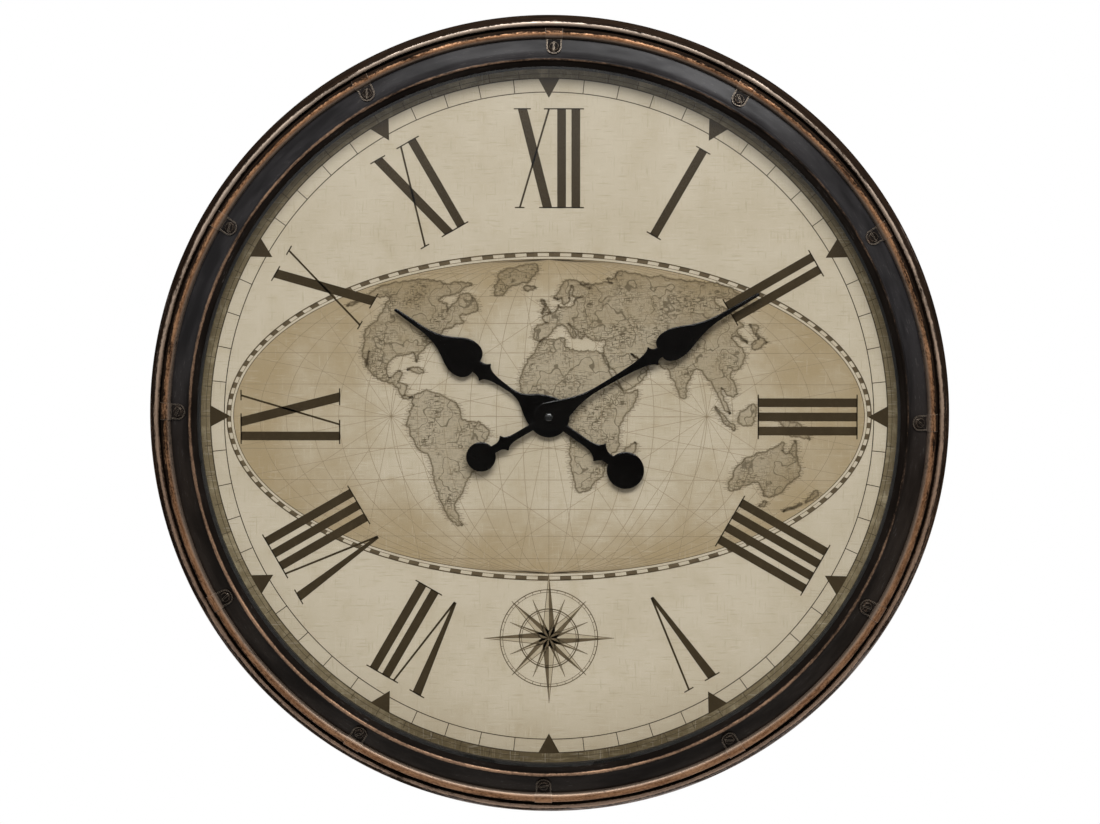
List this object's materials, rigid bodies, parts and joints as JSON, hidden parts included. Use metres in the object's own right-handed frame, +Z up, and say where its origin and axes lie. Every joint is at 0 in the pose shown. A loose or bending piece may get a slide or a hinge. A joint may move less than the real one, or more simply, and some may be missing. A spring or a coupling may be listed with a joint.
{
  "type": "wall clock",
  "caption": "Large round wall clock with a bronze rim of strap clips, flat glass, a map dial with Roman numerals, spade hands and a geared battery movement.",
  "frame": {"origin": "on the axis of the hands, midway between the wall face and the front of the rim", "axes": "+Z up, +X to the right seen from the front, the front faces -Y and the wall side faces +Y"},
  "size_m": [0.7619, 0.0438, 0.762],
  "materials": {
    "aged_bronze": "black-brown antique finish with rubbed copper beads",
    "clip_bronze": "antique copper straps with dark tabs",
    "screw_black": "blackened, worn bright at the slot",
    "clear_glass": "polished flat glass",
    "black_rubber": "matte",
    "black_spacer": "matte",
    "dial_paper": "printed antique paper, cream and sepia",
    "fibreboard": "pressed fibreboard",
    "zinc_steel": "zinc plated",
    "movement_black": "fine moulded grain",
    "brass": "machined",
    "hand_black": "satin black lacquer",
    "gear_plastic": "moulded acetal",
    "rotor_magnet": "sintered magnet with its pinion",
    "copper_wire": "enamelled copper winding",
    "circuit_green": "solder mask",
    "cell_jacket": "plain printed sleeve with a bright end"
  },
  "bodies": {
    "case": {"case_ring": "aged_bronze", "bezel_ring": "aged_bronze", "rim_clips": "clip_bronze", "rim_clip_screws": "screw_black", "glass_pane": "clear_glass", "glass_gasket": "black_rubber", "spacer_ring": "black_spacer", "dial_sheet": "dial_paper", "dial_board": "fibreboard", "board_clips": "zinc_steel", "board_clip_screws": "zinc_steel", "hanger_plate": "zinc_steel", "hanger_rivets": "zinc_steel", "movement_case": "movement_black", "movement_plate": "movement_black", "mounting_bush": "brass", "rubber_washer": "black_rubber", "bush_washer": "brass", "bush_nut": "brass", "battery": "cell_jacket", "battery_contacts": "zinc_steel", "circuit_board": "circuit_green", "quartz_crystal": "zinc_steel", "stator": "zinc_steel", "drive_coil": "copper_wire"},
    "minute_hand_set": {"minute_hand": "hand_black", "minute_collet": "brass", "cap_nut": "hand_black", "centre_wheel": "brass"},
    "hour_hand_set": {"hour_hand": "hand_black", "hour_collet": "brass", "hour_wheel": "gear_plastic"},
    "minute_wheel_set": {"minute_wheel": "gear_plastic"},
    "third_wheel_set": {"third_wheel": "gear_plastic"},
    "rotor_set": {"rotor": "rotor_magnet"},
    "setting_knob_set": {"setting_knob": "gear_plastic"}
  },
  "joints": [
    {"name": "minute_turn", "type": "hinge", "parent": "case", "child": "minute_hand_set", "pos_m": [0, 0, 0], "axis": [0, 1, 0], "continuous": true},
    {"name": "hour_turn", "type": "hinge", "parent": "case", "child": "hour_hand_set", "pos_m": [0, 0, 0], "axis": [0, 1, 0], "continuous": true},
    {"name": "minute_wheel_turn", "type": "hinge", "parent": "case", "child": "minute_wheel_set", "pos_m": [0.01128, 0, 0.0041], "axis": [0, 1, 0], "continuous": true},
    {"name": "third_wheel_turn", "type": "hinge", "parent": "case", "child": "third_wheel_set", "pos_m": [-0.01295, 0, 0.0125], "axis": [0, 1, 0], "continuous": true},
    {"name": "rotor_turn", "type": "hinge", "parent": "case", "child": "rotor_set", "pos_m": [-0.01975, 0, 0.00073], "axis": [0, 1, 0], "continuous": true},
    {"name": "setting_knob_turn", "type": "hinge", "parent": "case", "child": "setting_knob_set", "pos_m": [0.01728, 0, -0.00629], "axis": [0, 1, 0], "continuous": true}
  ],
  "couplings": [
    {"joint": "hour_turn", "follows": "minute_turn", "ratio": 0.083333},
    {"joint": "minute_wheel_turn", "follows": "minute_turn", "ratio": -0.33333},
    {"joint": "third_wheel_turn", "follows": "minute_turn", "ratio": -8},
    {"joint": "rotor_turn", "follows": "minute_turn", "ratio": 60},
    {"joint": "setting_knob_turn", "follows": "minute_turn", "ratio": 1}
  ]
}
